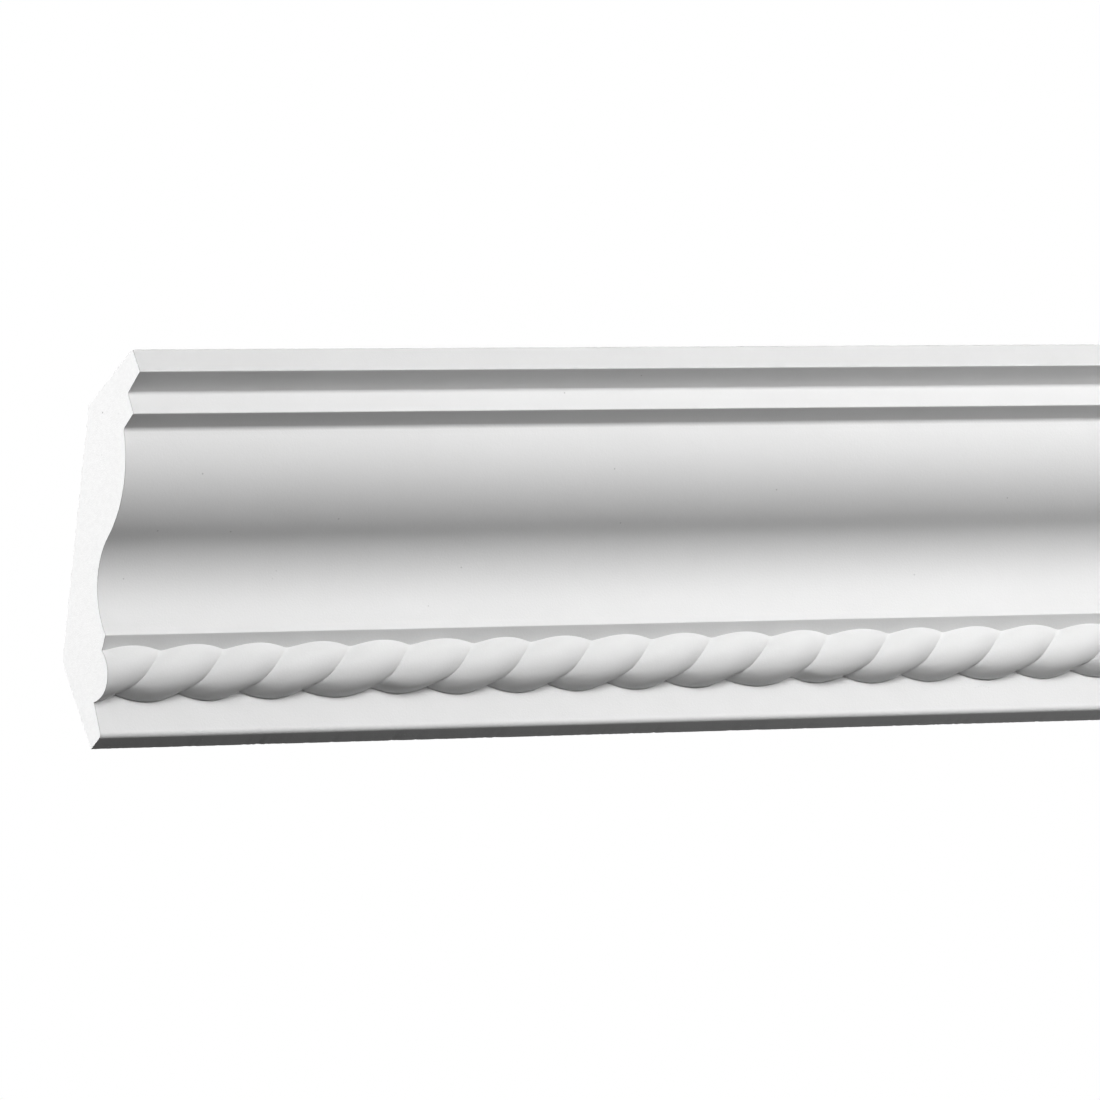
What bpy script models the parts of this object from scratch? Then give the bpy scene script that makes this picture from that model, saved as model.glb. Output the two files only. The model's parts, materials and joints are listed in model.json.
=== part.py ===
"""A length of crown moulding with a rope bead along its foot, cast in one piece.

Sizes are in metres. The moulding stands as it is fixed: +X runs along it, -Y faces the room
and +Z is up. The origin is the centre of the bedding face that lies on the wall.

The section is drawn in complex numbers: the real part is the distance out from the wall and
the imaginary part is the height above the moulding's bottom edge.
"""

import cmath
import math

import bmesh
import bpy

# The length and the two bedding faces
LENGTH = 0.350
DROP = 0.0762
PROJECTION = 0.0768
WALL_BEDDING = 0.0273
CEILING_BEDDING = 0.0274

# The two square steps under the ceiling, from the top down
TOP_FILLET_HEIGHT = 0.0070
UPPER_SOFFIT_DEPTH = 0.0084
UPPER_SOFFIT_SLOPE = math.radians(10.4)
SECOND_FILLET_HEIGHT = 0.0058
SECOND_FILLET_DRAFT = math.radians(6.3)
LOWER_SOFFIT_DEPTH = 0.0065
LOWER_SOFFIT_SLOPE = math.radians(6.9)
STEP_ROUND = 0.0010

# The cyma: two arcs that meet where the curve turns, placed by the chord between its ends
CYMA_FOOT_OUT = 0.0233
CYMA_FOOT_UP = 0.0213
CYMA_TURN_SHARE = 0.527
CYMA_TURN_OFFSET = 0.00286
CYMA_TURN_TILT = math.radians(36.0)

# The bevelled band between the cyma and the rope
BAND_SLOPE = math.radians(31.7)

# The plain lip at the bottom edge, which stands out from the wall as far as LIP_DEPTH
LIP_DEPTH = 0.0061
LIP_DRAFT = math.radians(11.8)
LIP_ROUND = 0.0016

# The rope bead, whose centre lies behind the band's face and in front of the lip's face
ROPE_RADIUS = 0.0093
ROPE_BEHIND_BAND = 0.0033
ROPE_BEFORE_LIP = 0.0014

# The rope's grooves: one every STRAND_PITCH, starting FIRST_GROOVE from the left end. Each
# runs nearly square to the rope below the bend angle and along a helix of this lead above it.
GROOVE_DEPTH = 0.0021
STRAND_PITCH = 0.01944
GROOVE_LEAD = 0.0439
GROOVE_BEND_ANGLE = math.radians(-87.5)
GROOVE_BEND_EASE = math.radians(15.0)
FIRST_GROOVE = 0.0071

# How finely the curves are divided
CYMA_ARC_PARTS = 9
ROUND_PARTS = 3
STRAND_PARTS = 12
ROPE_PARTS = 14
SHARP_EDGE_ANGLE = math.radians(30)

PRIMER_COLOUR = (0.86, 0.86, 0.85, 1.0)
PRIMER_ROUGHNESS = 0.6

QUARTER_TURN = math.pi / 2


def clear_scene():
    for obj in list(bpy.data.objects):
        bpy.data.objects.remove(obj, do_unlink=True)


def primer_material():
    material = bpy.data.materials.new("white_primer")
    material.use_nodes = True
    shader = material.node_tree.nodes["Principled BSDF"]
    shader.inputs["Base Color"].default_value = PRIMER_COLOUR
    shader.inputs["Roughness"].default_value = PRIMER_ROUGHNESS
    shader.inputs["Metallic"].default_value = 0.0
    return material


def heading(angle):
    """The unit step at this angle above straight out from the wall."""
    return cmath.rect(1, angle)


def dot(a, b):
    return (a.conjugate() * b).real


def rounded(before, corner, after, radius):
    """Points of the arc that rounds a corner between two straight stretches."""
    back = (before - corner) / abs(before - corner)
    ahead = (after - corner) / abs(after - corner)
    half = abs(cmath.phase(ahead / back)) / 2
    shorter = min(abs(before - corner), abs(after - corner))
    reach = min(radius / math.tan(half), shorter / 2)
    centre = corner + (back + ahead) / abs(back + ahead) * reach / math.cos(half)
    start = corner + back * reach - centre
    sweep = cmath.phase((corner + ahead * reach - centre) / start)
    return [centre + start * heading(sweep * part / ROUND_PARTS) for part in range(ROUND_PARTS + 1)]


def arc_points(start, tangent, end):
    """Points of the arc that leaves start along tangent and comes to end, without start."""
    chord = end - start
    bend = cmath.phase(chord / tangent)
    points = []
    for part in range(1, CYMA_ARC_PARTS + 1):
        swing = bend * part / CYMA_ARC_PARTS
        reach = abs(chord) * math.sin(swing) / math.sin(bend)
        points.append(start + tangent * heading(swing) * reach)
    return points


def cyma_foot():
    return complex(CYMA_FOOT_OUT, CYMA_FOOT_UP)


def cyma_points(head):
    """The cyma from its foot up to its head, both included."""
    chord = head - cyma_foot()
    along = chord / abs(chord)
    turn = head - chord * CYMA_TURN_SHARE + along * 1j * CYMA_TURN_OFFSET
    tangent = along * heading(-CYMA_TURN_TILT)
    concave = arc_points(turn, -tangent, cyma_foot())
    convex = arc_points(turn, tangent, head)
    return concave[::-1] + [turn] + convex


def step_points():
    """The two steps from the head of the cyma up to the outer edge under the ceiling."""
    top = complex(PROJECTION, DROP)
    top_fillet_foot = top - 1j * TOP_FILLET_HEIGHT
    upper_run = UPPER_SOFFIT_DEPTH / math.cos(UPPER_SOFFIT_SLOPE)
    upper_corner = top_fillet_foot - upper_run * heading(UPPER_SOFFIT_SLOPE)
    fillet_run = SECOND_FILLET_HEIGHT / math.cos(SECOND_FILLET_DRAFT)
    second_fillet_foot = upper_corner - fillet_run * heading(QUARTER_TURN - SECOND_FILLET_DRAFT)
    lower_run = LOWER_SOFFIT_DEPTH / math.cos(LOWER_SOFFIT_SLOPE)
    head = second_fillet_foot - lower_run * heading(LOWER_SOFFIT_SLOPE)
    inner = rounded(second_fillet_foot, upper_corner, top_fillet_foot, STEP_ROUND)
    return [head, second_fillet_foot] + inner + [top_fillet_foot, top]


def lip_corner():
    """The sharp corner that the lip would have without its rounding."""
    return complex(LIP_DEPTH, 0)


def lip_points():
    """The rounded edge of the lip, from its underside up to its face below the rope."""
    low, _ = visible_angles(ROPE_RADIUS)
    under_rope = rope_centre() + ROPE_RADIUS * heading(low)
    return rounded(0j, lip_corner(), under_rope, LIP_ROUND)


def plain_outline():
    """The section without the rope: from the foot of the cyma up, over and down to the lip."""
    steps = step_points()
    cyma = cyma_points(steps[0])
    ceiling_back = complex(PROJECTION - CEILING_BEDDING, DROP)
    wall_top = complex(0, WALL_BEDDING)
    return cyma + steps[1:] + [ceiling_back, wall_top, 0j] + lip_points()


def band_normal():
    return heading(BAND_SLOPE - QUARTER_TURN)


def lip_normal():
    return heading(-LIP_DRAFT)


def rope_centre():
    """The point that lies the named distances from the band's face and from the lip's face."""
    band = band_normal()
    lip = lip_normal()
    band_side = dot(band, cyma_foot()) - ROPE_BEHIND_BAND
    lip_side = dot(lip, lip_corner()) + ROPE_BEFORE_LIP
    cross = (band.conjugate() * lip).imag
    out = (band_side * lip.imag - lip_side * band.imag) / cross
    up = (lip_side * band.real - band_side * lip.real) / cross
    return complex(out, up)


def strand_radius(strand):
    """The rope's radius on the line this many strands along. Whole numbers lie in a groove."""
    return ROPE_RADIUS - GROOVE_DEPTH * (1 - abs(math.sin(math.pi * strand)))


def groove_run(angle):
    """How far along the moulding a groove has run when it reaches this angle of the rope."""
    past = angle - GROOVE_BEND_ANGLE
    eased = (past + math.hypot(past, GROOVE_BEND_EASE)) / 2
    return FIRST_GROOVE + GROOVE_LEAD * eased / math.tau


def visible_angles(radius):
    """Where a rope line of this radius leaves the lip's face and where it meets the band's."""
    low = cmath.phase(lip_normal()) - math.acos(-ROPE_BEFORE_LIP / radius)
    high = cmath.phase(band_normal()) + math.acos(ROPE_BEHIND_BAND / radius)
    return low, high


def rope_line(strand):
    """Points (x, section point) of one line that runs with the strands, from lip to band."""
    radius = strand_radius(strand)
    low, high = visible_angles(radius)
    points = []
    for part in range(ROPE_PARTS + 1):
        angle = low + (high - low) * part / ROPE_PARTS
        x = strand * STRAND_PITCH + groove_run(angle) - LENGTH / 2
        points.append((x, rope_centre() + radius * heading(angle)))
    return points


def rope_lines():
    """Lines enough for the rope to run past both ends of the moulding at every angle."""
    low, high = visible_angles(ROPE_RADIUS)
    first = math.floor(-groove_run(high) / STRAND_PITCH) - 1
    last = math.ceil((LENGTH - groove_run(low)) / STRAND_PITCH) + 1
    steps = range(first * STRAND_PARTS, last * STRAND_PARTS + 1)
    return [rope_line(step / STRAND_PARTS) for step in steps]


def add_vertex(mesh, x, point):
    """A vertex at this section point, with heights counted from the middle of the wall face."""
    return mesh.verts.new((x, -point.real, point.imag - WALL_BEDDING / 2))


def overlong_moulding(mesh):
    """Every long face of the moulding, running past both ends and open there."""
    lines = rope_lines()
    ends = (lines[0][0][0], lines[-1][-1][0])
    outline = plain_outline()
    left, right = ([add_vertex(mesh, x, point) for point in outline] for x in ends)
    for i in range(len(outline) - 1):
        mesh.faces.new((left[i], right[i], right[i + 1], left[i + 1]))
    rope = [[add_vertex(mesh, x, point) for x, point in line] for line in lines]
    for line, following in zip(rope, rope[1:]):
        for i in range(ROPE_PARTS):
            mesh.faces.new((line[i], following[i], following[i + 1], line[i + 1]))
    mesh.faces.new([left[-1], right[-1]] + [line[0] for line in reversed(rope)])
    mesh.faces.new([right[0], left[0]] + [line[-1] for line in rope])


def cut_square(mesh):
    """Cuts both ends off square at the named length and closes them."""
    for side in (-1, 1):
        everything = mesh.verts[:] + mesh.edges[:] + mesh.faces[:]
        cut = bmesh.ops.bisect_plane(
            mesh,
            geom=everything,
            plane_co=(side * LENGTH / 2, 0, 0),
            plane_no=(side, 0, 0),
            clear_outer=True,
        )
        rim = [item for item in cut["geom_cut"] if isinstance(item, bmesh.types.BMEdge)]
        bmesh.ops.holes_fill(mesh, edges=rim, sides=0)


def crown_moulding():
    mesh = bmesh.new()
    overlong_moulding(mesh)
    cut_square(mesh)
    bmesh.ops.recalc_face_normals(mesh, faces=mesh.faces[:])
    data = bpy.data.meshes.new("crown_moulding")
    mesh.to_mesh(data)
    mesh.free()
    data.shade_smooth()
    data.set_sharp_from_angle(angle=SHARP_EDGE_ANGLE)
    data.materials.append(primer_material())
    moulding = bpy.data.objects.new("crown_moulding", data)
    bpy.context.scene.collection.objects.link(moulding)
    return moulding


clear_scene()
crown_moulding()
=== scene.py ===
"""The looks of a length of crown moulding: its fine surface, its finish, the light and the camera.

Metres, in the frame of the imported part: +X along the moulding, -Y into the room, +Z up, and
the origin at the centre of the face that lies on the wall. The section is drawn in complex
numbers: the real part is the distance out from the wall and the imaginary part is the height
above the moulding's bottom edge.
"""

import cmath
import json
import math

import bmesh
import bpy
from mathutils import Euler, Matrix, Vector, noise


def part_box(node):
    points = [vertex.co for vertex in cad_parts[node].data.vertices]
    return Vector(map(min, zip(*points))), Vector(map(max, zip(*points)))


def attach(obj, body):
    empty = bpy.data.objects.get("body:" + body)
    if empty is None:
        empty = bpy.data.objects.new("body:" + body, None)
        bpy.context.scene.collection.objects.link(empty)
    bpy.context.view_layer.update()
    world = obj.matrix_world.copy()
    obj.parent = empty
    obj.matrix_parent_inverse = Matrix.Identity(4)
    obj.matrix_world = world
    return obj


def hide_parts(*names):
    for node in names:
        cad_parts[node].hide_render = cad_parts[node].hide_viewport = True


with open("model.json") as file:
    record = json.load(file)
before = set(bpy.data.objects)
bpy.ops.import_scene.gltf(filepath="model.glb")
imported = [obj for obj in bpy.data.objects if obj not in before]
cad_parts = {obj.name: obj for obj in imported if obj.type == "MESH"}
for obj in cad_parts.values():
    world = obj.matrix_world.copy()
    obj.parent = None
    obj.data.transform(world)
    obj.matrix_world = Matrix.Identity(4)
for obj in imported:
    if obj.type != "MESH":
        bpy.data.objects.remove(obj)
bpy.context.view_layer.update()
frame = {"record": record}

# Overall sizes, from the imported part
LOW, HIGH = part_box("crown_moulding")
MOUNTS = {mount["name"]: mount for mount in frame["record"]["mounts"]}
LENGTH = HIGH.x - LOW.x
DROP = HIGH.z - LOW.z
PROJECTION = -LOW.y
WALL_BEDDING = -2 * LOW.z
CEILING_BEDDING = 2 * (PROJECTION + MOUNTS["ceiling_face"]["pos_m"][1])

# The two square steps under the ceiling, from the top down
TOP_FILLET_HEIGHT = 0.0070
UPPER_SOFFIT_DEPTH = 0.0084
UPPER_SOFFIT_SLOPE = math.radians(8.9)
SECOND_FILLET_HEIGHT = 0.0060
SECOND_FILLET_DRAFT = math.radians(6.3)
LOWER_SOFFIT_DEPTH = 0.0065
LOWER_SOFFIT_SLOPE = math.radians(5.9)

# The cyma, the bevelled band and the lip
CYMA_FOOT = complex(0.02304, 0.02114)
CYMA_TURN_SHARE = 0.527
CYMA_TURN_OFFSET = 0.00286
CYMA_TURN_TILT = math.radians(36.0)
BAND_SLOPE = math.radians(31.7)
LIP_CORNER = complex(0.0061, 0.00018)
LIP_DRAFT = math.radians(11.8)

# The rope bead, whose centre lies behind the band's face and in front of the lip's face
ROPE_RADIUS = 0.0093
ROPE_BEHIND_BAND = 0.0033
ROPE_BEFORE_LIP = 0.0014

# The rope's grooves: one every STRAND_PITCH, starting FIRST_GROOVE from the left end. Each
# runs nearly square to the rope below the bend angle and along a helix of this lead above it.
# STRAND_POWER shapes the strands between them: below 1 they are fuller than a sine wave.
STRAND_PITCH = 0.01944
FIRST_GROOVE = 0.0071
GROOVE_DEPTH = 0.0021
GROOVE_LEAD = 0.0439
GROOVE_BEND_ANGLE = math.radians(-87.5)
GROOVE_BEND_EASE = math.radians(15.0)
STRAND_POWER = 0.8

# The grooves are crisp in front, wash out into rounded hollows above their feet and at their
# heads, and are crisp again where they come to the lip
FOOT_SOFTNESS = 0.22
FOOT_START = math.radians(-66)
FOOT_MIDDLE = math.radians(-88)
FOOT_END = math.radians(-108)
FOOT_DEEPENING = 0.12
HEAD_SOFTNESS = 0.28
HEAD_SHALLOWING = 0.25
HEAD_START = math.radians(-25)
HEAD_END = math.radians(5)

# The rope's pattern repeats every seven strands. In each repeat the grooves stray from an even
# pitch by these shares of a strand: at the head, in front and at the foot
GROOVE_DRIFT = (
    (-0.016, 0.015, -0.035),
    (-0.011, 0.015, -0.035),
    (-0.010, 0.005, -0.065),
    (0.010, 0.025, -0.050),
    (-0.014, 0.048, 0.050),
    (0.030, 0.065, -0.035),
    (-0.028, 0.005, -0.030),
)
PATTERN_REPEAT = len(GROOVE_DRIFT)
DRIFT_HEAD = math.radians(-5)
DRIFT_FRONT = math.radians(-55)
DRIFT_FOOT = math.radians(-108)

# In each repeat one strand was cast with its foot less full, by LEAN_DEPTH. Across the strand
# the loss comes in over the share LEAN_RISE and fades out past the share LEAN_FADE.
LEAN_STRAND = 4
LEAN_DEPTH = 0.0005
LEAN_RISE = 0.10
LEAN_FADE = 0.65
LEAN_TOP = math.radians(-72)
LEAN_FOOT = math.radians(-100)

# The rope turns in a little faster at its foot, and a fine crease parts each strand from the
# lip. The crease is deepest under a strand and keeps the share CREASE_LEAST in the grooves.
TUCK_DEPTH = 0.00035
TUCK_START = math.radians(-56)
TUCK_END = math.radians(-98)
CREASE_DEPTH = 0.00028
CREASE_WIDTH = 0.00025
CREASE_LEAST = 0.1

# Roundings: crisp outer edges, softer inner corners
ARRIS_ROUND = 0.0003
INNER_ROUND = 0.0010
CYMA_HEAD_ROUND = 0.0015
LIP_ROUND = 0.0014

# The slightly ragged back edge of the underside: coarse nicks with fine ones among them
NICK_DEPTH = 0.00018
NICK_SCALE = 700
NICK_SHARE = 0.9
NICK_ROW = 0.5
NICK_FINE_SCALE = 2300
NICK_FINE_SHARE = 0.6
NICK_FINE_ROW = 3.5

# Small marks of the real piece, each by its place on the surface: dark spots of painted shade at
# small pits in the primer, light specks on the underside that are painted highlights where tiny
# bumps catch the light, a faint scrape on the lip, and dark spots of painted shade in pinholes in
# the cut end
PIT_SHADE_SPOTS = (
    (-0.0724, -0.0238, 0.0141),
    (-0.0212, -0.0551, 0.0372),
    (-0.0387, -0.0683, 0.0533),
    (-0.0615, -0.0288, 0.0229),
    (-0.1199, -0.0289, 0.0229),
    (-0.1378, -0.0399, 0.0286),
    (-0.1057, -0.0437, 0.0297),
    (0.0329, -0.0501, 0.0329),
    (-0.0146, -0.0408, 0.0288),
    (0.0875, -0.0261, 0.0195),
    (-0.0541, -0.0241, 0.0148),
    (-0.1511, -0.0551, 0.0373),
    (0.1113, -0.0470, 0.0311),
    (-0.1606, -0.0406, 0.0288),
    (-0.1670, -0.0279, 0.0219),
    (-0.1209, -0.0275, 0.0213),
    (-0.0163, -0.0739, 0.0550),
)
# Light specks on the underside: painted highlights where tiny bumps catch the light
HIGHLIGHT_SPECKS = (
    (-0.1701, -0.0010, -0.0137),
    (-0.1423, -0.0033, -0.0137),
    (-0.0788, -0.0029, -0.0137),
    (0.0336, -0.0024, -0.0137),
    (0.0464, -0.0044, -0.0137),
    (0.0561, -0.0050, -0.0136),
    (0.0911, -0.0008, -0.0136),
)
SCRAPE = (
    (0.1088, -0.0075, -0.0065),
    (0.1100, -0.0076, -0.0062),
    (0.1109, -0.0077, -0.0060),
    (0.1118, -0.0077, -0.0060),
    (0.1126, -0.0076, -0.0062),
    (0.1134, -0.0075, -0.0065),
)
# Dark spots of painted shade in pinholes of the cut end
PINHOLE_SHADE_SPOT = ((-0.175, -0.0546, 0.0571),)
FAINT_PINHOLE_SHADE_SPOTS = (
    (-0.175, -0.0614, 0.0523),
    (-0.175, -0.0480, 0.0481),
)

# Each spot of a mark is plain to MARK_CORE from its middle and is gone at MARK_RIM. The primer is
# darker in a thin band beside each cut, which reaches CUT_RIM from it and is darkest within
# CUT_RIM_DARKEST.
MARK_CORE = 0.00012
MARK_RIM = 0.00034
CUT_RIM = 0.00035
CUT_RIM_DARKEST = CUT_RIM / 3

# How much darker the marks are than the surface round them. The highlight specks on the underside
# are lighter: painted highlights.
# Painted shade: how dark the spots at the pits are, standing in for the shade inside them
PIT_SHADE_DARKNESS = 0.28
HIGHLIGHT_SPECK_DARKNESS = -0.36
SCRAPE_DARKNESS = 0.07
CUT_RIM_DARKNESS = 0.22
# Painted shade: how dark the spots in the pinholes are
PINHOLE_SHADE_DARKNESS = 0.40
FAINT_PINHOLE_SHADE_DARKNESS = 0.10

# The grey and the gloss of each surface
PRIMER_GREY = 0.66
PRIMER_SPECULAR = 0.35
CUT_FOAM_GREY = 0.90
CUT_FOAM_ROUGHNESS = 0.9
CUT_FOAM_SPECULAR = 0.2
FOAM_SKIN_GREY = 0.78
FOAM_SKIN_ROUGHNESS = 0.6
FOAM_SKIN_SPECULAR = 0.3
FOAM_SKIN_STRETCH = (0.35, 1.0, 1.0)

# Between these two values of a noise texture a surface goes from its darkest to its full grey
NOISE_LOW = 0.3
NOISE_HIGH = 0.7

# How finely the surface is divided. A flat stretch has a line FLAT_EDGE inside each of its
# ends, but at most the share FLAT_EDGE_MOST of its length inside.
STRAND_PARTS = 26
ROPE_PARTS = 34
CYMA_ARC_PARTS = 14
ARRIS_PARTS = 3
INNER_PARTS = 8
LIP_PARTS = 7
FLAT_EDGE = 0.0002
FLAT_EDGE_MOST = 0.25
SHARP_EDGE_ANGLE = math.radians(30)

# The camera, as the photograph was taken: from below and to the left, rolled to one side
CAMERA_PLACE = (-1.57308, -2.06967, -1.23727)
CAMERA_AZIMUTH = math.radians(37.07)
CAMERA_ELEVATION = math.radians(26.32)
CAMERA_ROLL = math.radians(-19.53)
FOCAL_LENGTH_MM = 343.6
SENSOR_MM = 36

DISPLAY_GAMMA = 0.8

# The floor, which glows a little so that it stays pale under a light meant for the moulding
FLOOR_HEIGHT = -4.3
FLOOR_SIZE = 60
FLOOR_GREY = 0.8
FLOOR_ROUGHNESS = 0.9
FLOOR_GLOW = 0.7

WHITE = (1, 1, 1, 1)
QUARTER_TURN = math.pi / 2

# The mesh's materials, in the order in which they are added to it
PRIMER, CUT_FOAM, FOAM_SKIN = range(3)

# The section's corners from which a stretch of foam skin starts: the foot and the top of the
# wall's flat and the back edge of the ceiling's flat
SKIN_CORNERS = 3


def heading(angle):
    """The unit step at this angle above straight out from the wall."""
    return cmath.rect(1, angle)


def dot(a, b):
    return (a.conjugate() * b).real


def ease(value, start, end):
    """A smooth step from 0 at start to 1 at end."""
    share = min(max((value - start) / (end - start), 0), 1)
    return share * share * (3 - 2 * share)


def rounded(before, corner, after, radius, parts):
    """Points of the arc that rounds a corner between two nearly straight stretches."""
    back = (before - corner) / abs(before - corner)
    ahead = (after - corner) / abs(after - corner)
    half = abs(cmath.phase(ahead / back)) / 2
    reach = radius / math.tan(half)
    centre = corner + (back + ahead) / abs(back + ahead) * reach / math.cos(half)
    start = corner + back * reach - centre
    sweep = cmath.phase((corner + ahead * reach - centre) / start)
    return [centre + start * heading(sweep * part / parts) for part in range(parts + 1)]


def arc_points(start, tangent, end):
    """Points of the arc that leaves start along tangent and comes to end, without start."""
    chord = end - start
    bend = cmath.phase(chord / tangent)
    points = []
    for part in range(1, CYMA_ARC_PARTS + 1):
        swing = bend * part / CYMA_ARC_PARTS
        reach = abs(chord) * math.sin(swing) / math.sin(bend)
        points.append(start + tangent * heading(swing) * reach)
    return points


def flat_between(start, end):
    """Points of a flat stretch, ends left out, with one close to each end to keep it flat."""
    reach = min(FLAT_EDGE, abs(end - start) * FLAT_EDGE_MOST)
    step = (end - start) / abs(end - start) * reach
    return [start + step, (start + end) / 2, end - step]


def joined(stretches):
    """One run of points from stretches of points, with a flat stretch between each two."""
    run = list(stretches[0])
    for stretch in stretches[1:]:
        run += flat_between(run[-1], stretch[0])
        run += stretch
    return run


BAND_NORMAL = heading(BAND_SLOPE - QUARTER_TURN)
LIP_NORMAL = heading(-LIP_DRAFT)


def rope_centre():
    """The point that lies the named distances from the band's face and from the lip's face."""
    band_side = dot(BAND_NORMAL, CYMA_FOOT) - ROPE_BEHIND_BAND
    lip_side = dot(LIP_NORMAL, LIP_CORNER) + ROPE_BEFORE_LIP
    cross = (BAND_NORMAL.conjugate() * LIP_NORMAL).imag
    out = (band_side * LIP_NORMAL.imag - lip_side * BAND_NORMAL.imag) / cross
    up = (lip_side * BAND_NORMAL.real - band_side * LIP_NORMAL.real) / cross
    return complex(out, up)


ROPE_CENTRE = rope_centre()


def visible_angles(radius):
    """Where a rope line of this radius leaves the lip's face and where it meets the band's."""
    low = cmath.phase(LIP_NORMAL) - math.acos(-ROPE_BEFORE_LIP / radius)
    high = cmath.phase(BAND_NORMAL) + math.acos(ROPE_BEHIND_BAND / radius)
    return low, high


def groove_run(angle):
    """How far along the moulding a groove has run when it reaches this angle of the rope."""
    past = angle - GROOVE_BEND_ANGLE
    eased = (past + math.hypot(past, GROOVE_BEND_EASE)) / 2
    return FIRST_GROOVE + GROOVE_LEAD * eased / math.tau


def drift(strand, angle):
    """How many strands further along than at an even pitch this line lies at this angle."""
    groove = math.floor(strand)
    beyond = strand - groove
    before = GROOVE_DRIFT[groove % PATTERN_REPEAT]
    after = GROOVE_DRIFT[(groove + 1) % PATTERN_REPEAT]
    head, front, foot = (a + (b - a) * beyond for a, b in zip(before, after))
    upward = (head - front) * ease(angle, DRIFT_FRONT, DRIFT_HEAD)
    downward = (foot - front) * ease(angle, DRIFT_FRONT, DRIFT_FOOT)
    return front + upward + downward


def lean_foot(strand, angle):
    """How much smaller the rope's radius is where a strand was cast with a lean foot."""
    beyond = (strand - LEAN_STRAND) % PATTERN_REPEAT
    across = ease(beyond, 0, LEAN_RISE) * ease(beyond, 1, LEAN_FADE)
    return LEAN_DEPTH * across * ease(angle, LEAN_TOP, LEAN_FOOT)


def rope_radius(strand, angle):
    """The rope's radius this many strands along, whole numbers being grooves, at this angle."""
    foot = ease(angle, FOOT_START, FOOT_MIDDLE) * ease(angle, FOOT_END, FOOT_MIDDLE)
    head = ease(angle, HEAD_START, HEAD_END)
    soft = FOOT_SOFTNESS * foot + HEAD_SOFTNESS * head
    deeper = FOOT_DEEPENING * ease(angle, FOOT_MIDDLE, FOOT_END)
    depth = GROOVE_DEPTH * (1 + deeper - HEAD_SHALLOWING * head)
    wave = abs(math.sin(math.pi * strand)) ** STRAND_POWER
    share = (math.hypot(wave, soft) - soft) / (math.hypot(1, soft) - soft)
    tuck = TUCK_DEPTH * ease(angle, TUCK_START, TUCK_END)
    return ROPE_RADIUS - tuck - depth * (1 - share) - lean_foot(strand, angle)


def rope_line(strand):
    """Points (x, section point) of one line that runs with the strands, from lip to band."""
    low, high = visible_angles(ROPE_RADIUS)
    # In the grooves the rope is thinner, and so meets the lip and the band at other angles
    low = visible_angles(rope_radius(strand, low))[0]
    high = visible_angles(rope_radius(strand, high))[1]
    points = []
    for part in range(ROPE_PARTS + 1):
        angle = low + (high - low) * part / ROPE_PARTS
        along = (strand + drift(strand, angle)) * STRAND_PITCH
        x = along + groove_run(angle) - LENGTH / 2
        points.append((x, ROPE_CENTRE + rope_radius(strand, angle) * heading(angle)))
    return points


def crease(strand, contact):
    """The bottom and the lower edge of the crease where a rope line comes to the lip."""
    share = CREASE_LEAST + (1 - CREASE_LEAST) * math.sin(math.pi * strand) ** 2
    inward = (contact - ROPE_CENTRE) / abs(contact - ROPE_CENTRE) * -1j
    bottom = contact + inward * CREASE_DEPTH * share
    lower_edge = contact - LIP_NORMAL * 1j * CREASE_WIDTH * share
    return [bottom, lower_edge]


def cyma_run(head, above):
    """The cyma from its rounded head, under the step that comes from above, to its foot."""
    chord = CYMA_FOOT - head
    along = chord / abs(chord)
    turn = head + chord * CYMA_TURN_SHARE - along * 1j * CYMA_TURN_OFFSET
    tangent = along * heading(-CYMA_TURN_TILT)
    convex = arc_points(turn, -tangent, head)[::-1]
    concave = arc_points(turn, tangent, CYMA_FOOT)
    curve = convex + [turn] + concave
    crown = rounded(above, curve[0], curve[1], CYMA_HEAD_ROUND, INNER_PARTS)
    band = CYMA_FOOT - BAND_NORMAL * 1j * INNER_ROUND
    foot = rounded(curve[-2], curve[-1], band, ARRIS_ROUND, ARRIS_PARTS)
    return crown + curve[1:-1] + foot


def front_run():
    """The front from the ceiling's edge down to the start of the band."""
    top = complex(PROJECTION, DROP)
    top_fillet_foot = top - 1j * TOP_FILLET_HEIGHT
    upper_run = UPPER_SOFFIT_DEPTH / math.cos(UPPER_SOFFIT_SLOPE)
    upper_corner = top_fillet_foot - upper_run * heading(UPPER_SOFFIT_SLOPE)
    fillet_run = SECOND_FILLET_HEIGHT / math.cos(SECOND_FILLET_DRAFT)
    second_fillet_foot = upper_corner - fillet_run * heading(QUARTER_TURN - SECOND_FILLET_DRAFT)
    lower_run = LOWER_SOFFIT_DEPTH / math.cos(LOWER_SOFFIT_SLOPE)
    head = second_fillet_foot - lower_run * heading(LOWER_SOFFIT_SLOPE)
    inside = complex(0, DROP)
    return joined([
        rounded(inside, top, top_fillet_foot, ARRIS_ROUND, ARRIS_PARTS),
        rounded(top, top_fillet_foot, upper_corner, ARRIS_ROUND, ARRIS_PARTS),
        rounded(top_fillet_foot, upper_corner, second_fillet_foot, INNER_ROUND, INNER_PARTS),
        rounded(upper_corner, second_fillet_foot, head, ARRIS_ROUND, ARRIS_PARTS),
        cyma_run(head, second_fillet_foot),
    ])


def lip_run():
    """The lip from the bottom of its face round to its underside."""
    face = LIP_CORNER + LIP_NORMAL * 1j * LIP_ROUND
    return rounded(face, LIP_CORNER, 0j, LIP_ROUND, LIP_PARTS)


FRONT = front_run()
LIP = lip_run()
CEILING_BACK = complex(PROJECTION - CEILING_BEDDING, DROP)
WALL_TOP = complex(0, WALL_BEDDING)


def nick(x):
    """How far the ragged back edge of the underside is broken away here."""
    coarse = noise.noise((x * NICK_SCALE, NICK_ROW, NICK_ROW))
    fine = noise.noise((x * NICK_FINE_SCALE, NICK_FINE_ROW, NICK_ROW))
    return NICK_DEPTH * min(max(NICK_SHARE * coarse + NICK_FINE_SHARE * fine, 0), 1)


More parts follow.
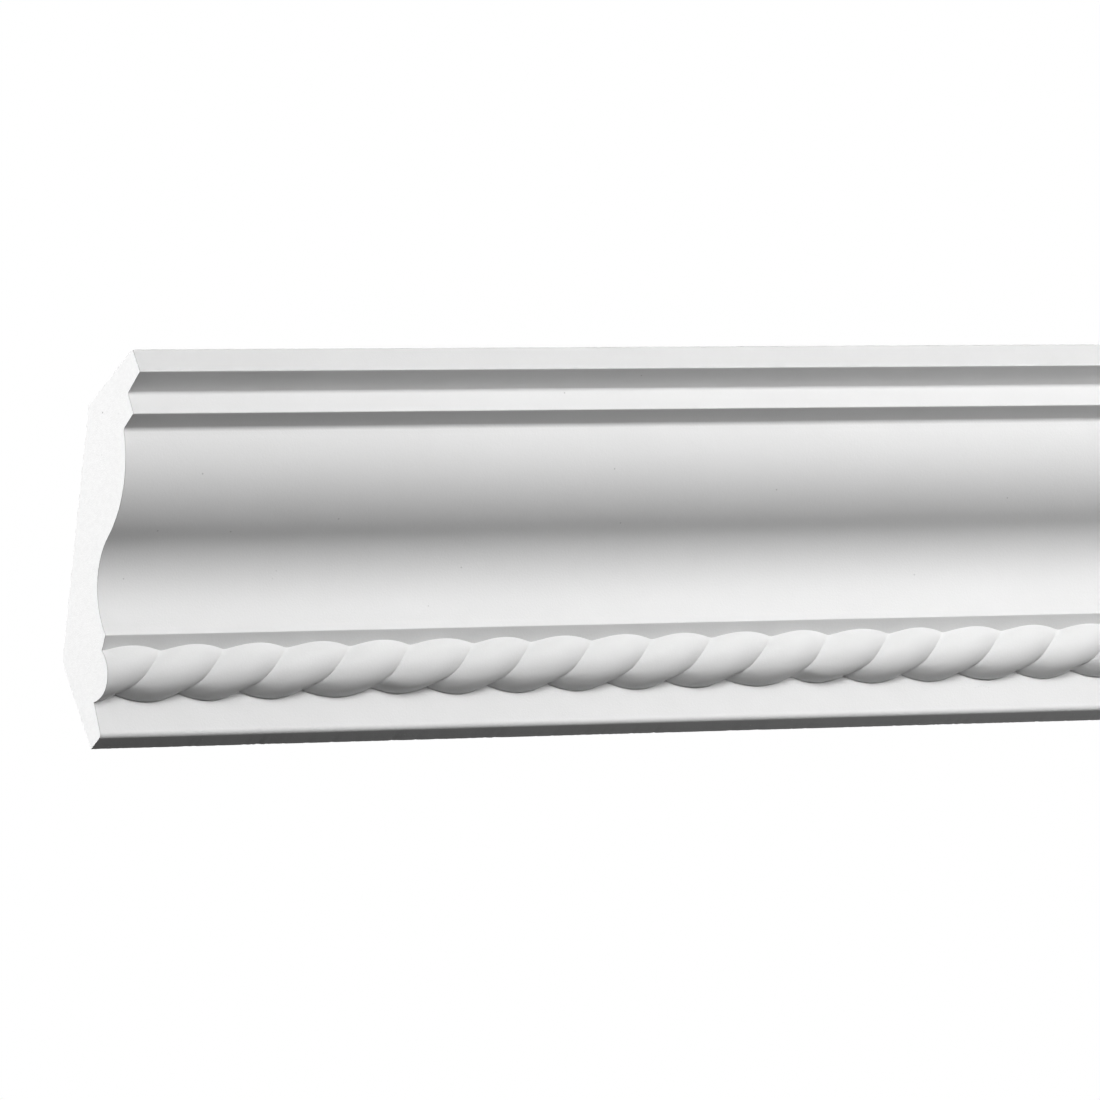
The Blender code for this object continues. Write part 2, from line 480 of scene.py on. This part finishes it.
def section_line(strand):
    """Points (x, section point) of one closed line round the moulding, the foam skin last."""
    rope = rope_line(strand)
    x_lip, lip_contact = rope[0]
    x_band, band_contact = rope[-1]
    front = FRONT + flat_between(FRONT[-1], band_contact)
    below = crease(strand, lip_contact)
    under_rope = below + flat_between(below[-1], LIP[0]) + LIP
    wall_foot = complex(0, nick(x_lip))
    under = flat_between(LIP[-1], wall_foot)
    back = flat_between(WALL_TOP, CEILING_BACK)
    line = [(x_band, point) for point in front]
    line += rope[::-1]
    line += [(x_lip, point) for point in under_rope + under + [wall_foot, WALL_TOP]]
    for part, point in enumerate(back, 1):
        line.append((x_lip + (x_band - x_lip) * part / (len(back) + 1), point))
    line.append((x_band, CEILING_BACK))
    return line


def fine_mesh():
    """The whole surface, longer than the moulding by a strand or more and open at both ends."""
    mesh = bmesh.new()
    low, high = visible_angles(ROPE_RADIUS)
    first = math.floor(-groove_run(high) / STRAND_PITCH) - 1
    last = math.ceil((LENGTH - groove_run(low)) / STRAND_PITCH) + 1
    lift = -WALL_BEDDING / 2
    rows = []
    for step in range(first * STRAND_PARTS, last * STRAND_PARTS + 1):
        line = section_line(step / STRAND_PARTS)
        rows.append([mesh.verts.new((x, -point.real, point.imag + lift)) for x, point in line])
    count = len(rows[0])
    first_skin = count - len(flat_between(WALL_TOP, CEILING_BACK)) - SKIN_CORNERS
    for row, following in zip(rows, rows[1:]):
        for i in range(count):
            j = (i + 1) % count
            face = mesh.faces.new((row[i], row[j], following[j], following[i]))
            face.material_index = FOAM_SKIN if i >= first_skin else PRIMER
            face.smooth = True
    return mesh


def cut_square(mesh):
    """Cuts both ends off square and closes them with flat faces of bare foam."""
    for side in (-1, 1):
        everything = mesh.verts[:] + mesh.edges[:] + mesh.faces[:]
        cut = bmesh.ops.bisect_plane(
            mesh,
            geom=everything,
            plane_co=(side * LENGTH / 2, 0, 0),
            plane_no=(side, 0, 0),
            clear_outer=True,
        )
        rim = [item for item in cut["geom_cut"] if isinstance(item, bmesh.types.BMEdge)]
        filled = bmesh.ops.holes_fill(mesh, edges=rim, sides=0)
        for face in filled["faces"]:
            face.material_index = CUT_FOAM


class Nodes:
    """A small helper that adds nodes to one material and links them."""

    def __init__(self, name):
        self.material = bpy.data.materials.new(name)
        self.material.use_nodes = True
        self.tree = self.material.node_tree
        self.shader = self.tree.nodes["Principled BSDF"]
        self.place = self.tree.nodes.new("ShaderNodeTexCoord").outputs["Object"]

    def link(self, output, socket):
        self.tree.links.new(output, socket)

    def set_or_link(self, socket, value):
        if isinstance(value, bpy.types.NodeSocket):
            self.link(value, socket)
        else:
            socket.default_value = value

    def math(self, operation, first, second=0.0, third=0.0):
        node = self.tree.nodes.new("ShaderNodeMath")
        node.operation = operation
        for socket, value in zip(node.inputs, (first, second, third)):
            self.set_or_link(socket, value)
        return node.outputs[0]

    def ramp(self, value, start, end, low, high):
        """Maps value from start..end to low..high, and no further."""
        node = self.tree.nodes.new("ShaderNodeMapRange")
        node.interpolation_type = "SMOOTHSTEP"
        self.link(value, node.inputs["Value"])
        node.inputs["From Min"].default_value = start
        node.inputs["From Max"].default_value = end
        node.inputs["To Min"].default_value = low
        node.inputs["To Max"].default_value = high
        return node.outputs["Result"]

    def mottle(self, value, darkest):
        """1 where a noise texture is high, falling to darkest where it is low."""
        return self.ramp(value, NOISE_LOW, NOISE_HIGH, darkest, 1.0)

    def stretched(self, scale):
        """The place on the surface with each of its coordinates scaled."""
        node = self.tree.nodes.new("ShaderNodeVectorMath")
        node.operation = "MULTIPLY"
        self.link(self.place, node.inputs[0])
        node.inputs[1].default_value = scale
        return node.outputs[0]

    def noise(self, scale, detail, place=None):
        node = self.tree.nodes.new("ShaderNodeTexNoise")
        self.link(place or self.place, node.inputs["Vector"])
        node.inputs["Scale"].default_value = scale
        node.inputs["Detail"].default_value = detail
        return node.outputs["Fac"]

    def cells(self, scale):
        node = self.tree.nodes.new("ShaderNodeTexVoronoi")
        self.link(self.place, node.inputs["Vector"])
        node.inputs["Scale"].default_value = scale
        return node.outputs["Distance"]

    def marks(self, spots):
        """1 at the middle of each spot on the surface, falling to 0 at its rim."""
        nearest = None
        for spot in spots:
            node = self.tree.nodes.new("ShaderNodeVectorMath")
            node.operation = "DISTANCE"
            self.link(self.place, node.inputs[0])
            node.inputs[1].default_value = spot
            reach = node.outputs["Value"]
            nearest = self.math("MINIMUM", nearest, reach) if nearest else reach
        return self.ramp(nearest, MARK_CORE, MARK_RIM, 1.0, 0.0)

    def cut_rim(self):
        """1 in a hair's breadth beside each cut end, 0 elsewhere."""
        split = self.tree.nodes.new("ShaderNodeSeparateXYZ")
        self.link(self.place, split.inputs[0])
        along = self.math("ABSOLUTE", split.outputs["X"])
        cut = LENGTH / 2
        return self.ramp(along, cut - CUT_RIM, cut - CUT_RIM_DARKEST, 0.0, 1.0)

    def less(self, shade, mask, share):
        """shade, darkened by this share where the mask is 1, or lightened where it is minus."""
        return self.math("MULTIPLY", shade, self.math("MULTIPLY_ADD", mask, -share, third=1.0))

    def tint(self, grey, shade):
        """A grey times a shade that varies over the surface."""
        node = self.tree.nodes.new("ShaderNodeVectorMath")
        node.operation = "SCALE"
        node.inputs[0].default_value = (grey, grey, grey)
        self.link(shade, node.inputs["Scale"])
        return node.outputs[0]

    def bump(self, height, strength, distance, normal=None):
        node = self.tree.nodes.new("ShaderNodeBump")
        node.inputs["Strength"].default_value = strength
        node.inputs["Distance"].default_value = distance
        self.link(height, node.inputs["Height"])
        if normal:
            self.link(normal, node.inputs["Normal"])
        return node.outputs["Normal"]

    def finish(self, colour, roughness, normal, specular):
        self.link(colour, self.shader.inputs["Base Color"])
        self.set_or_link(self.shader.inputs["Roughness"], roughness)
        self.link(normal, self.shader.inputs["Normal"])
        self.shader.inputs["Specular IOR Level"].default_value = specular
        return self.material


def primer_material():
    """Matte white primer: an even film with a fine grain and small marks, some of them painted
    shade and painted highlights.
    """
    nodes = Nodes("white_primer")
    grain = nodes.noise(scale=1900, detail=3.0)
    ripple = nodes.noise(scale=140, detail=2.0)
    cloud = nodes.noise(scale=28, detail=3.0)
    shade = nodes.mottle(cloud, darkest=0.985)
    # Dark spots of painted shade at the small pits in the primer
    shade = nodes.less(shade, nodes.marks(PIT_SHADE_SPOTS), PIT_SHADE_DARKNESS)
    # Light specks on the underside: painted highlights where tiny bumps catch the light
    shade = nodes.less(shade, nodes.marks(HIGHLIGHT_SPECKS), HIGHLIGHT_SPECK_DARKNESS)
    shade = nodes.less(shade, nodes.marks(SCRAPE), SCRAPE_DARKNESS)
    shade = nodes.less(shade, nodes.cut_rim(), CUT_RIM_DARKNESS)
    colour = nodes.tint(PRIMER_GREY, shade)
    normal = nodes.bump(grain, strength=0.30, distance=0.00010)
    normal = nodes.bump(ripple, strength=0.08, distance=0.0004, normal=normal)
    roughness = nodes.ramp(grain, start=0.2, end=0.8, low=0.52, high=0.66)
    return nodes.finish(colour, roughness, normal, PRIMER_SPECULAR)


def cut_foam_material():
    """Bare saw-cut foam: fine closed cells, and dark spots of painted shade in a few larger
    pinholes.
    """
    nodes = Nodes("cut_foam")
    cell = nodes.cells(scale=2600)
    grain = nodes.noise(scale=900, detail=3.0)
    shade = nodes.mottle(grain, darkest=0.97)
    # Dark spots of painted shade in the pinholes of the cut end
    shade = nodes.less(shade, nodes.marks(PINHOLE_SHADE_SPOT), PINHOLE_SHADE_DARKNESS)
    shade = nodes.less(shade, nodes.marks(FAINT_PINHOLE_SHADE_SPOTS), FAINT_PINHOLE_SHADE_DARKNESS)
    colour = nodes.tint(CUT_FOAM_GREY, shade)
    normal = nodes.bump(cell, strength=0.25, distance=0.00012)
    return nodes.finish(colour, CUT_FOAM_ROUGHNESS, normal, CUT_FOAM_SPECULAR)


def foam_skin_material():
    """The back as it left the mould: smooth foam skin with faint flow marks."""
    nodes = Nodes("foam_skin")
    along = nodes.stretched(FOAM_SKIN_STRETCH)
    flow = nodes.noise(scale=60, detail=4.0, place=along)
    grain = nodes.noise(scale=1500, detail=2.0)
    shade = nodes.mottle(flow, darkest=0.93)
    colour = nodes.tint(FOAM_SKIN_GREY, shade)
    normal = nodes.bump(flow, strength=0.2, distance=0.0006)
    normal = nodes.bump(grain, strength=0.15, distance=0.0001, normal=normal)
    return nodes.finish(colour, FOAM_SKIN_ROUGHNESS, normal, FOAM_SKIN_SPECULAR)


def crown_moulding():
    """The whole moulding in its three materials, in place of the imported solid."""
    mesh = fine_mesh()
    cut_square(mesh)
    bmesh.ops.recalc_face_normals(mesh, faces=mesh.faces[:])
    data = bpy.data.meshes.new("moulding_surface")
    mesh.to_mesh(data)
    mesh.free()
    data.set_sharp_from_angle(angle=SHARP_EDGE_ANGLE)
    for material in (primer_material(), cut_foam_material(), foam_skin_material()):
        data.materials.append(material)
    moulding = bpy.data.objects.new("moulding_surface", data)
    bpy.context.scene.collection.objects.link(moulding)
    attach(moulding, "root")
    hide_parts("crown_moulding")


def floor():
    """A plain pale floor, far enough below to stay clear of every view from underneath.

    It sheds no light of its own on the moulding.
    """
    material = bpy.data.materials.new("pale_floor")
    material.use_nodes = True
    shader = material.node_tree.nodes["Principled BSDF"]
    shader.inputs["Base Color"].default_value = (FLOOR_GREY, FLOOR_GREY, FLOOR_GREY, 1)
    shader.inputs["Roughness"].default_value = FLOOR_ROUGHNESS
    shader.inputs["Emission Color"].default_value = WHITE
    shader.inputs["Emission Strength"].default_value = FLOOR_GLOW
    bpy.ops.mesh.primitive_plane_add(size=FLOOR_SIZE, location=(0, 0, FLOOR_HEIGHT))
    plane = bpy.context.object
    plane.name = "floor"
    plane.data.materials.append(material)
    plane.visible_diffuse = False
    plane.visible_glossy = False


def soft_light(name, azimuth, elevation, distance, size, power):
    """A square area light aimed at the moulding, unseen itself.

    Azimuth 0 stands in the room, square to the moulding, and 90 beyond its right end.
    """
    data = bpy.data.lights.new(name, "AREA")
    data.size = size
    data.energy = power
    light = bpy.data.objects.new(name, data)
    bpy.context.scene.collection.objects.link(light)
    turn = Euler((math.radians(90 - elevation), 0, math.radians(azimuth)))
    ahead = Vector((0, 0, -1))
    ahead.rotate(turn)
    light.rotation_euler = turn
    light.location = -distance * ahead
    light.visible_camera = False


def backdrop():
    """A white backdrop that the camera alone sees, so it sheds no light."""
    world = bpy.data.worlds.new("studio")
    bpy.context.scene.world = world
    world.use_nodes = True
    tree = world.node_tree
    background = tree.nodes["Background"]
    background.inputs["Color"].default_value = WHITE
    path = tree.nodes.new("ShaderNodeLightPath")
    tree.links.new(path.outputs["Is Camera Ray"], background.inputs["Strength"])


def camera():
    """The scene's camera: level first, then rolled about its own line of sight."""
    data = bpy.data.cameras.new("camera")
    data.lens = FOCAL_LENGTH_MM
    data.sensor_width = SENSOR_MM
    seat = bpy.data.objects.new("camera", data)
    bpy.context.scene.collection.objects.link(seat)
    level = Euler((QUARTER_TURN + CAMERA_ELEVATION, 0, -CAMERA_AZIMUTH)).to_matrix()
    roll = Euler((0, 0, CAMERA_ROLL)).to_matrix()
    seat.rotation_euler = (level @ roll).to_euler()
    seat.location = CAMERA_PLACE
    bpy.context.scene.camera = seat


bpy.context.scene.view_settings.view_transform = "Standard"
bpy.context.scene.view_settings.gamma = DISPLAY_GAMMA
camera()
crown_moulding()
floor()
backdrop()

# The light as it was fitted to the photograph, and last a light for the back
soft_light("front", azimuth=0, elevation=0, distance=3.0, size=1.1, power=44.5)
soft_light("near", azimuth=0, elevation=-8, distance=0.9, size=0.3, power=2.68)
soft_light("near_right", azimuth=45, elevation=-17, distance=0.9, size=0.4, power=2.68)
soft_light("low_right", azimuth=45, elevation=-50, distance=0.9, size=0.3, power=0.62)
soft_light("half_left", azimuth=-40, elevation=8, distance=3.0, size=2.4, power=16.5)
soft_light("high_left", azimuth=-35, elevation=25, distance=3.0, size=1.6, power=8.1)
soft_light("end", azimuth=-100, elevation=30, distance=3.0, size=1.0, power=89.5)
soft_light("back", azimuth=150, elevation=25, distance=3.0, size=1.0, power=45)
